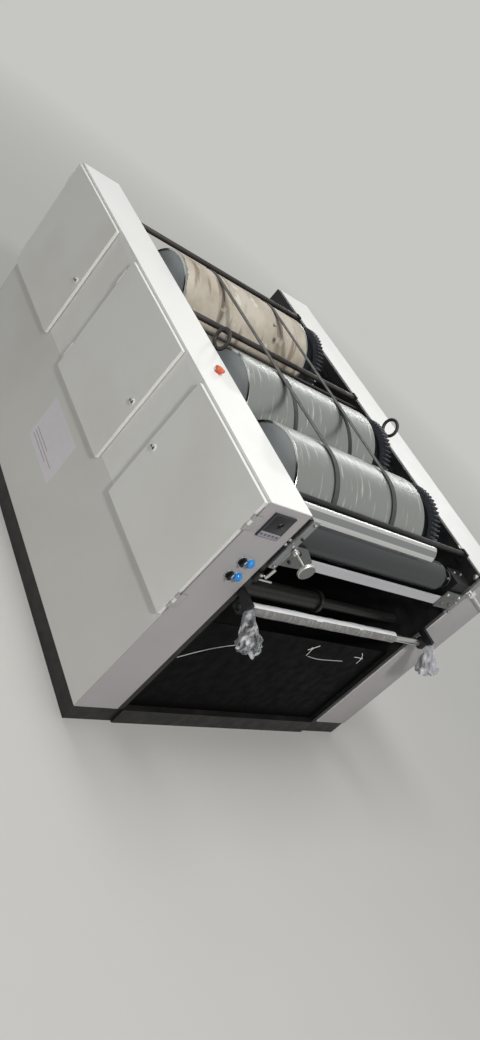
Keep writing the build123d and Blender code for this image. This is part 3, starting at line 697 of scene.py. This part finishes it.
first, last = (FILM_START, LOWER_SHAFT_RADIUS), (FILM_END, LOWER_SHAFT_RADIUS)
form = turned([first, *rings(FILM_START, FILM_END, FILM_RADIUS, 120), last, first], steps=48)
for vert in form.verts:
    outward = Vector((vert.co.x, vert.co.y, 0))
    if outward.length > LOWER_SHAFT_RADIUS + 2:
        angle = atan2(vert.co.y, vert.co.x)
        fold = round_noise(angle, 2.4, vert.co.z / 90)
        fine = round_noise(angle, 7, vert.co.z / 20)
        vert.co += outward.normalized() * (1.6 * fold + 1.1 * fine - 1.0)
    if vert.co.z > FILM_END - 6 or vert.co.z < FILM_START + 6:
        vert.co.z += 5 * noise.noise(Vector((vert.co.x / 6, vert.co.y / 6, 2)))
# Faces near the top get the whiter film as a painted highlight.
for face in form.faces:
    centre = face.calc_center_median()
    from_top = degrees(atan2(centre.x, -centre.y))
    from_top += 9 * noise.noise(Vector((0, 0, centre.z / 110)))
    face.material_index = 1 if TOP_HIGHLIGHT_FROM < from_top < TOP_HIGHLIGHT_TO else 0
lay_along_y(form, LOWER_SHAFT_X, LOWER_SHAFT_Z)
shaft_film = hand_over(form, "lower_shaft_film_wrap", "clear_film", wrap_film, film_painted_top_highlight,
                       body="lower_shaft", smooth=60)
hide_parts("lower_shaft_film")
print("the shaft's film is", round(shaft_film.dimensions.y * 1000), "mm long")

# %% [markdown]
# The rearmost drum carries a sheet of cream packing paper, taped and torn along both
# edges. Old paper is matt and slightly yellow, with brown streaks where glue and ink
# dried. The sheet is a spun line of points, so it follows the drum exactly. Its edge
# points are then pulled back by noise for the tears, and Solidify gives it a thickness.

# %% Paper on the rear drum
paper_wrap, tree, shader = start_finish("paper_cream_packing", "#B9B0A0", Roughness=0.6, IOR=1.48)
mottle = between(tree, spots(tree, 120, 6), 0.38, 0.66, 0.0, 1.0)
cream = blend_paint(tree, mottle, "#C4BCAD", "#A79C8A")
brown = between(tree, streaks(tree, 1, 0.12, 26, 4), 0.56, 0.62, 0.0, 0.7)
stained = blend_paint(tree, brown, cream, "#77634F")
creases = spots(tree, 60, 6)
scuffed = between(tree, creases, 0.62, 0.68, 0.0, 0.7)
tint(tree, shader, scuffed, stained, "#DAD5CA")
dents(tree, shader, creases, 2.2, 0.6)

PAPER_START, PAPER_END, TORN_MM = 247, 995, 80
form = turned(rings(PAPER_START, PAPER_END, DRUM_RADIUS + 0.7, 60), steps=160)
for vert in form.verts:
    angle = atan2(vert.co.y, vert.co.x)
    tears = ((14, 4), (9, 14.5), (5, 40))
    inset = max(0, 5 + sum(depth * round_noise(angle, around, 0) for depth, around in tears))
    near_start = max(0, 1 - (vert.co.z - PAPER_START) / TORN_MM)
    near_end = max(0, 1 - (PAPER_END - vert.co.z) / TORN_MM)
    vert.co.z += inset * (near_start - near_end)
    outward = Vector((vert.co.x, vert.co.y, 0)).normalized()
    vert.co += outward * 0.3 * noise.noise(Vector(vert.co) / 40)
lay_along_y(form, DRUM_X[1], DRUM_Z)
bmesh.ops.solidify(form, geom=form.faces[:], thickness=0.35)
paper = hand_over(form, "drum_1_paper", "kraft_paper", paper_wrap, body="drum_1", smooth=40)
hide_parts("drum_1_wrap")
print("the paper covers", round(paper.dimensions.y * 1000), "mm of the drum")

# %% [markdown]
# Four controls sit in pairs beside the screen: a blue push button, domed and glossy, and a
# black selector, turned by a short handle with a pale insert. Each has a chromed bezel ring
# that clamps it in the sheet. They are small turned shapes, and the handle is a bevelled
# block. Several finishes in one piece tell its parts apart.

# %% Push buttons and selectors
bezel_chrome = plain_metal("brass_chromed_bezel_ring", "#CDCED0", 0.1, 0.2, 6)
insert_white = moulded("plastic_white_pointer", "#E9E9E6", 0.35)
BUTTON_Y, SELECTOR_Y, CONTROL_Z = 126, 92, (873, 810)
dome = [(2, 0), (2, 15.5), (9, 15.5), (13, 14.6), (17, 11.6), (19.6, 7), (20.6, 0)]
ring = [(0.2, 13), (0.2, 17), (3, 17), (4, 15.9), (4, 13), (0.2, 13)]
base = [(2, 0), (2, 15.4), (6, 15.2), (7, 14), (7, 0)]


def controls(y, *profiles):
    """Two equal controls, one above the other. Each profile has its own finish."""
    form = bmesh.new()
    for z in CONTROL_Z:
        for finish, profile in enumerate(profiles):
            gather(form, turned(profile), finish, facing((0, y, z), INFEED))
    return form


buttons = hand_over(controls(BUTTON_Y, dome, ring), "push_buttons", "control_plastic",
                    button_blue, bezel_chrome)
form = controls(SELECTOR_Y, base, ring)
for z in CONTROL_Z:
    gather(form, slab((7, 19), (SELECTOR_Y - 4.5, SELECTOR_Y + 4.5), (z - 14.5, z + 14.5), 1.8))
    pointer = slab((18.4, 19.8), (SELECTOR_Y - 2, SELECTOR_Y + 2), (z + 1, z + 13.5), 0.5)
    gather(form, pointer, 2)
selectors = hand_over(form, "selector_switches", "control_plastic", knob_black,
                      bezel_chrome, insert_white)
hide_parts("control_buttons")
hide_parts("control_buttons")

# %% [markdown]
# The infeed roller's bearings sit in two slides, flat bars of zinc-plated steel screwed to
# the front edges of the side plates, with a black bearing block behind each. They start as
# copies of the solids. A copy may be changed freely: its triangles are merged, its edges
# are rounded so that they catch light, and the faces behind the slide get the block's
# black. The screws are then set on it.

# %% Slides and bearing blocks of the infeed roller
SLIDE_FRONT = 12
form = solid_copy("infeed_slides", 0.8, lambda face, middle: middle.x < 0.05)
end_screws = [(SLIDE_FRONT, y, z) for y, z in ((215, 1085), (214, 893), (1281, 1085), (1281, 893))]
fasten(form, SOCKET_SCREW, 6, end_screws, INFEED)
fasten(form, SOCKET_SCREW, 4.5, [(SLIDE_FRONT, 219, 1022)], INFEED, 1)
slides = hand_over(form, "infeed_slides_with_screws", "zinc_steel", zinc_plate, plate_black)
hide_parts("infeed_slides")

# %% [markdown]
# The flat bar across the infeed end is painted light grey, and a plated bracket holds it
# at each slide. The near bracket also carries the rod of the adjusting knob. Black and
# bright screws mix here, as they do on a machine that was put together by hand.

# %% Flat bar, brackets and the bolts round them
BAR_FRONT, BRACKET_FRONT = 8, 14
# The brackets behind the bar get the darker zinc, as painted shade.
form = solid_copy("infeed_bar", 0.6, lambda face, middle: middle.x > BAR_FRONT + 0.05)
for kind, r, spots_yz, finish in ((SOCKET_SCREW, 5.5, ((252, 925), (262, 968)), 2),
                                  (SOCKET_SCREW, 5.5, ((320, 927),), 1),
                                  (DOME_BOLT, 8, ((1180, 927), (1240, 927)), 1)):
    fasten(form, kind, r, [(BRACKET_FRONT, *spot) for spot in spots_yz], INFEED, finish)
bar = hand_over(form, "infeed_bar_with_brackets", "grey_paint", bar_grey, zinc_painted_shade, plate_black)
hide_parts("infeed_bar")
form = bmesh.new()
fasten(form, DOME_BOLT, 5, [(0.2, 194, 977), (0.2, 194, 998)], INFEED)
hand_over(form, "plate_edge_bolts", "zinc_steel", cast_knob)

# %% [markdown]
# The guard over the roller is one strip of aluminium sheet, folded in a press brake: a narrow
# flange on top, and a front that rolls forward and down. Its fold line is a row of points, which
# is extruded along the roller and then gets the sheet's thickness. The flat top and the steepest,
# lowest band get a brighter copy of the aluminium as a painted highlight. How steep a face stands
# tells where it belongs.

# %% Guard over the infeed roller
FOLD_LINE = [(-83, 1096.5), (-73, 1098), (-70.5, 1097.6), (-68.5, 1096.4), (-62, 1091.5),
             (-56.5, 1085.5), (-52, 1079), (-49, 1072), (-47, 1065), (-45.7, 1058),
             (-45.3, 1054)]
guard_low, guard_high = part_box("roller_guard")
guard_start, guard_end = [(corner.y - CORNER.y) / MM for corner in (guard_low, guard_high)]
form = bmesh.new()
corners = [form.verts.new((x, guard_start, z)) for x, z in FOLD_LINE]
edges = [form.edges.new(pair) for pair in zip(corners, corners[1:])]
strip = bmesh.ops.extrude_edge_only(form, edges=edges)["geom"]
moved = [part for part in strip if isinstance(part, bmesh.types.BMVert)]
bmesh.ops.translate(form, vec=(0, guard_end - guard_start, 0), verts=moved)
bmesh.ops.recalc_face_normals(form, faces=form.faces)
bmesh.ops.solidify(form, geom=form.faces[:], thickness=2)
# The flat top and the steepest faces get the painted highlight.
for face in form.faces:
    steep = abs(face.normal.x)
    face.material_index = 0 if 0.65 <= steep <= 0.95 else 1
guard = hand_over(form, "roller_guard_folded", "zinc_steel", brushed_guard, guard_painted_highlight,
                  smooth=50)
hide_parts("roller_guard")
print("the guard is", round(guard.dimensions.y * 1000), "mm long")

# %% [markdown]
# An eye bolt stands on top of each side plate for the crane's hook. It is forged: its ring,
# a small circle spun round, is a true torus, and its neck, a turned profile, swells into
# the collar. Both have the worn dark enamel of the bars.

# %% Lifting rings
RING_X, RING_RADIUS, RING_WIRE = -843, 38, 7.5
steps = [tau * i / 16 for i in range(17)]
WIRE = [(RING_WIRE * sin(a), RING_RADIUS + RING_WIRE * cos(a)) for a in steps]
NECK = [(0, 0), (0, 11), (6, 11), (8, 9), (11, 7.4), (15, 7), (18, 7), (18, 0)]
form = bmesh.new()
for y, seat in ((199.5, 1093), (1290.5, 1082)):
    gather(form, turned(WIRE, 48), 0, facing((RING_X, y, seat + 53), (0, 1, 0)))
    gather(form, turned(NECK, 24), 0, facing((RING_X, y, seat + 0.5), UP))
eye_bolts = hand_over(form, "lifting_eye_bolts", "black_paint", bar_brown)
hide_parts("lifting_rings")

# %% [markdown]
# A drum is closed at both ends by a disc that is let into its shell. The disc has a dull
# grey paint, and only the shell's rim shines, as a thin bright line round it. A hub ring
# and six screws hold the disc. It turns with its drum, so it rides on the drum's body.

# %% End discs of the drums
disc_grey = brushed_enamel("paint_dull_grey_drum_ends", "#A8ADAD", "#B7BBBA", 0.05)
DISC_FACE, SCREW_CIRCLE = 5.4, 92
DISC = [(0, 36), (0, 191.5), (5, 191.5), (DISC_FACE, 191), (DISC_FACE, 66), (6.6, 64), (6.6, 40),
        (5.8, 36), (0, 36)]
RIM = [(6.05, 191.2), (6.9, 191.8), (7, 199.2), (6.05, 199.9), (6.05, 191.2)]
around = [k * pi / 3 + 0.4 for k in range(6)]
for number, x in DRUM_X.items():
    form = bmesh.new()
    for y, way in ((248, -1), (996, 1)):
        outward = (0, way, 0)
        gather(form, turned(DISC, 96), 0, facing((x, y, DRUM_Z), outward))
        gather(form, turned(RIM, 96), 2, facing((x, y, DRUM_Z), outward))
        screws = [(x + SCREW_CIRCLE * cos(a), y + way * DISC_FACE,
                   DRUM_Z + SCREW_CIRCLE * sin(a)) for a in around]
        fasten(form, DOME_BOLT, 6, screws, outward, 1)
    hand_over(form, f"drum_{number}_end_discs", "polished_steel", disc_grey, zinc_plate,
              bright_bar, body=f"drum_{number}")

# %% [markdown]
# Two narrow belts run over the drums. Besides the straight run there is a second strand: on
# the rear and the middle drum it hugs the front half and dips into the nip below. On the
# middle drum it also creeps sideways. The strand is a strip of a grid that is bent round
# the drum, point by point, and then gets its thickness.

# %% Belt strands that hug the drums
BELT_WIDTH, STRAND_START, STRAND_STEPS, STRAND_RADIUS = 24, 92, 36, DRUM_RADIUS + 0.6
STRANDS = ((1, 418, 76, 0), (1, 763, 76, 0), (2, 460, 72, 62), (2, 785, 72, 84))
form = bmesh.new()
for number, first_y, sweep, creep in STRANDS:
    strip = bmesh.new()
    bmesh.ops.create_grid(strip, x_segments=STRAND_STEPS, y_segments=1, size=1)
    for vert in strip.verts:
        along = (vert.co.x + 1) / 2
        angle = radians(STRAND_START - sweep * along)
        y = first_y + creep * max(0, along - 0.2) + (vert.co.y + 1) / 2 * BELT_WIDTH
        vert.co = (DRUM_X[number] + STRAND_RADIUS * cos(angle), y,
                   DRUM_Z + STRAND_RADIUS * sin(angle))
    bmesh.ops.recalc_face_normals(strip, faces=strip.faces)
    bmesh.ops.solidify(strip, geom=strip.faces[:], thickness=1.4)
    gather(form, strip)
hand_over(form, "belt_strands", "belt_rubber", belt_rubber)

# %% [markdown]
# The screen is a panel instrument: a dark glass behind a moulded frame, with a light strip
# of keys below it. The glass is much smoother than the frame, so it shows a clear
# reflection. It is a thin pane that lies on the solid, and so are the strip and its keys.

# %% Screen glass and keys
screen_glass, tree, shader = start_finish("glass_over_dark_display", "#15161A", IOR=1.52)
vary_gloss(tree, shader, spots(tree, 40, 3), 0.05, 0.1)
key_strip = moulded("abs_light_grey_key_strip", "#A6A3AA", 0.4)
key_grey = moulded("rubber_grey_keys", "#6B6A72", 0.5)
SCREEN_FRONT = 6
form = slab((SCREEN_FRONT, 6.8), (59, 132), (1010, 1071), 0.25)
gather(form, slab((SCREEN_FRONT, 6.6), (50, 138), (985, 1006), 0.25), 1)
for y in range(54, 123, 17):
    gather(form, slab((6.6, 7.6), (y, y + 11), (991, 1000), 0.4), 2)
for y, z in (((46.5, 141.5), (1075.5, 1078.5)), ((46.5, 50), (984, 1078))):
    gather(form, slab((SCREEN_FRONT, 7.4), y, z, 0.5), 3)
hand_over(form, "screen_face", "screen_plastic", screen_glass, key_strip, key_grey, screen_abs)

# %% [markdown]
# Each door has a quarter-turn lock with a grey insert, a small dark dot from afar. It is a
# turned disc with a raised edge, its grip is a bevelled block, and it swings with the door.
# The steel hinges are a copy of their solid: those of the two rear doors were coated with
# the cabinet, and on the front door only the flat leaves were, so the barrels with their
# pins stayed bright.

# %% Lock inserts and hinges
LOCKS, LOCK_FACE, LOCK_Z = {"door_1": -1496, "door_2": -745, "door_3": -509}, -21, 828
FRONT_HINGES_START = -100
INSERT = [(0.05, 0), (0.05, 8.2), (1.3, 8.2), (1.9, 7.6), (1.9, 6.6), (0.8, 6.2), (0.8, 0)]
lock_grey = moulded("zinc_grey_painted_lock", "#55565A", 0.4)
for door, x in LOCKS.items():
    form = slab((x - 13, x + 3), (LOCK_FACE - 4, LOCK_FACE), (LOCK_Z - 2.5, LOCK_Z + 2.5), 1)
    gather(form, turned(INSERT, 32), 0, facing((x, LOCK_FACE, LOCK_Z), NEAR))
    hand_over(form, f"{door}_lock_insert", "control_plastic", lock_grey, body=door)


def hinge_finish(face, middle):
    """0 on the rear doors, and on the front door 2 for its flat leaves and 1 for its pins."""
    if middle.x < FRONT_HINGES_START:
        return 0
    is_flat = max(abs(face.normal.x), abs(face.normal.y)) > 0.95
    return 2 if is_flat and face.calc_area() > 60 else 1


form = solid_copy("door_hinges", 0.5, hinge_finish)
hinges = hand_over(form, "door_hinges_finished", "zinc_steel", white_coat, bright_bar, end_coat)
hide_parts("door_hinges")

# %% [markdown]
# A paper label is stuck on the near cabinet below the doors. It is left without any name:
# only three grey rules stand where print would be. It is a sheet 0.4 mm thick, and the
# rules are flat slabs that stand out by a few hundredths of a millimetre.

# %% Plain label on the near cabinet
def printed(name, hex_code, roughness, first, second, size_mm):
    """A dull sheet surface with a faint change of colour."""
    material, tree, shader = start_finish(name, hex_code, Roughness=roughness, IOR=1.5)
    tint(tree, shader, spots(tree, size_mm, 3), first, second)
    return material


label_paper = printed("paper_label_satin_white", "#ECE6EC", 0.45, "#EDE8ED", "#E2DCE2", 50)
label_print = printed("ink_grey_label_rules", "#A9A4AA", 0.5, "#A29DA3", "#B5B0B6", 20)
form = slab((-1146, -856), (-0.45, -0.02), (292, 500), 0.1, 1)
for z, rule_end in ((318, -950), (334, -900), (350, -980)):
    gather(form, slab((-1128, rule_end), (-0.5, -0.4), (z, z + 4), 0), 1)
hand_over(form, "cabinet_label", "white_powder_coat", label_paper, label_print)

# %% [markdown]
# The emergency stop on the cap is a red mushroom, low and lobed so that a gloved hand can
# turn it. A turned profile is pushed in and out round its rim in five waves.

# %% Emergency stop
STOP_X, STOP_Y, CAP_TOP = -650, 112, 1108
head = [(0.2, 0), (0.2, 11), (7, 11), (7, 15), (10, 17.4), (14, 17.6), (18, 15), (20, 10),
        (20.6, 0)]
form = turned(head, 60)
for vert in form.verts:
    if vert.co.z > 6.9:
        angle = atan2(vert.co.y, vert.co.x)
        vert.co.xy *= 1 + 0.14 * cos(5 * angle)
bmesh.ops.translate(form, vec=(STOP_X, STOP_Y, CAP_TOP), verts=form.verts)
stop = hand_over(form, "emergency_stop_head", "stop_red", stop_red)
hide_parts("emergency_stop")

# %% [markdown]
# Under the near slide hangs a small clamp for the web's edge, with two bright pins and a
# short handle. Pins, ties and strings are round rods that bend: a curve with a round bevel
# is turned into a mesh.

# %% Bent rods
def bent_rod(points, radius, sides=4):
    """A round rod through points in millimetres, as a form with closed ends."""
    line = bpy.data.curves.new("rod_line", "CURVE")
    line.dimensions = "3D"
    line.bevel_depth = radius
    line.bevel_resolution = sides
    line.use_fill_caps = True
    spline = line.splines.new("NURBS")
    spline.points.add(len(points) - 1)
    for point, spot in zip(spline.points, points):
        point.co = (*spot, 1)
    spline.order_u = min(3, len(points))
    spline.use_endpoint_u = True
    spline.resolution_u = 8
    holder = bpy.data.objects.new("rod_line", line)
    mesh = bpy.data.meshes.new_from_object(holder)
    form = bmesh.new()
    form.from_mesh(mesh)
    bpy.data.objects.remove(holder)
    bpy.data.curves.remove(line)
    bpy.data.meshes.remove(mesh)
    bmesh.ops.remove_doubles(form, verts=form.verts, dist=0.001)
    return form


form = gather(bmesh.new(), slab((0.3, 13), (190, 211), (812, 850), 1.5), 1)
for points, radius in (([(7, 194, 821), (7, 276, 819)], 4), ([(7, 196, 840), (7, 229, 839)], 3),
                       ([(10, 230, 836), (12, 232, 850), (11, 236, 879)], 6.5)):
    gather(form, bent_rod(points, radius))
fasten(form, HEX_NUT, 6, [(13, 199, 845)], INFEED)
hand_over(form, "web_edge_clamp", "zinc_steel", cast_knob, plate_black)

# %% [markdown]
# The far cabinet is one solid, but its end gets the darker, warmer grey of the near end. A copy of
# the solid gets that finish on every face that looks towards the infeed.

# %% End of the far cabinet
form = solid_copy("housing_far", 1.5, lambda face, middle: face.normal.x > 0.9)
cabinet = hand_over(form, "housing_far_two_tone", "white_powder_coat", white_coat, end_coat)
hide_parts("housing_far")

# %% [markdown]
# The adjusting knob is an aluminium casting. Its face, which looks towards the infeed, is duller
# and gets a darker copy of the rim's metal as painted shade. The front tie bar is still black,
# while the rear ones are worn brown. Both are copies of their solids, and the finish goes by where
# a face lies.

# %% Knob and tie bars
KNOB_START, FRONT_BAR_START = 80, -300
# The face towards the infeed gets the darker copy, as painted shade.
form = solid_copy("adjusting_knob", 0.4,
                  lambda face, middle: middle.x > KNOB_START and abs(face.normal.x) > 0.9)
knob = hand_over(form, "adjusting_knob_finished", "bright_steel", cast_knob, knob_face_in_painted_shade,
                 body="adjusting_knob")
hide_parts("adjusting_knob")
form = solid_copy("tie_bars", 0.5, lambda face, middle: middle.x > FRONT_BAR_START)
bars = hand_over(form, "tie_bars_finished", "black_paint", bar_brown, plate_black)
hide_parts("tie_bars")

# %% [markdown]
# At the far side the roller's bearing has a round flange with four screws, the bracket has
# a taller plate, and bright bolts sit on the plate, the slide and the tie bar. They are
# small, but they are what the eye finds in that dark corner.

# %% Fittings in the far corner
FLANGE_X, FLANGE_Z, PLATE_FRONT = -57, 990, 14
FLANGE = [(0, 15), (0, 38), (9, 38), (11, 36), (11, 24), (15, 22), (15, 15), (0, 15)]
form = gather(bmesh.new(), turned(FLANGE, 40), 0, facing((FLANGE_X, 1172.8, FLANGE_Z), NEAR))
corners = [(FLANGE_X + a, 1162, FLANGE_Z + b) for a in (-21, 21) for b in (-21, 21)]
fasten(form, SOCKET_SCREW, 4.5, corners, NEAR, 1)
fasten(form, SOCKET_SCREW, 5, [(FLANGE_X, 1200, 1029.6), (FLANGE_X, 1250, 1029.6)], UP, 1)
fasten(form, DOME_BOLT, 10, [(-22, 1283, 1068)], NEAR, 1)
fasten(form, DOME_BOLT, 7, [(-129, 1206, 1106.5)], UP, 1)
hand_over(form, "roller_bearing_flange", "black_paint", plate_black, cast_knob)
# The bracket plate gets the darker zinc, as painted shade.
form = slab((8, PLATE_FRONT), (1150, 1264.5), (953, 987), 1)
fasten(form, DOME_BOLT, 6, [(PLATE_FRONT, y, 972) for y in (1250, 1168)], INFEED, 1)
fasten(form, SOCKET_SCREW, 5, [(PLATE_FRONT, 1256, 948)], INFEED, 1)
fasten(form, HEX_NUT, 8, [(12, 1281, 1003)], INFEED, 1)
hand_over(form, "far_bracket_plate", "zinc_steel", zinc_painted_shade, cast_knob)

# %% [markdown]
# White nylon ties once held the film. Two still stand on the black panel, cut off short,
# and two loose ends of film string lie along it. Each tie is a small head with three
# strands, and strands and strings are bent rods pressed flat to the panel.

# %% Cable ties on the closing panel
nylon_white = moulded("nylon_white_cable_tie", "#E4E2DC", 0.35)
TIES = (((826, 520), ((836, 476), (854, 541), (812, 508))),
        ((1164, 508), ((1115, 509), (1169, 474), (1135, 539))))
STRINGS = (((852, 472), (905, 462), (985, 466), (1072, 474)),
           ((439, 472), (380, 452), (300, 408), (244, 368)))
PANEL_FRONT = -20
form = bmesh.new()
for (y, z), ends in TIES:
    gather(form, slab((PANEL_FRONT, PANEL_FRONT + 5), (y - 4, y + 4), (z - 5, z + 5), 1))
    for end_y, end_z in ends:
        path = [(PANEL_FRONT + 3, y, z),
                (PANEL_FRONT + 2, (y + end_y) / 2 + 4, (z + end_z) / 2 + 3),
                (PANEL_FRONT + 1.6, end_y, end_z)]
        gather(form, bent_rod(path, 1.6, 2))
for string in STRINGS:
    gather(form, bent_rod([(PANEL_FRONT + 1, y, z) for y, z in string], 1.1, 2))
hand_over(form, "cable_ties", "white_powder_coat", nylon_white)
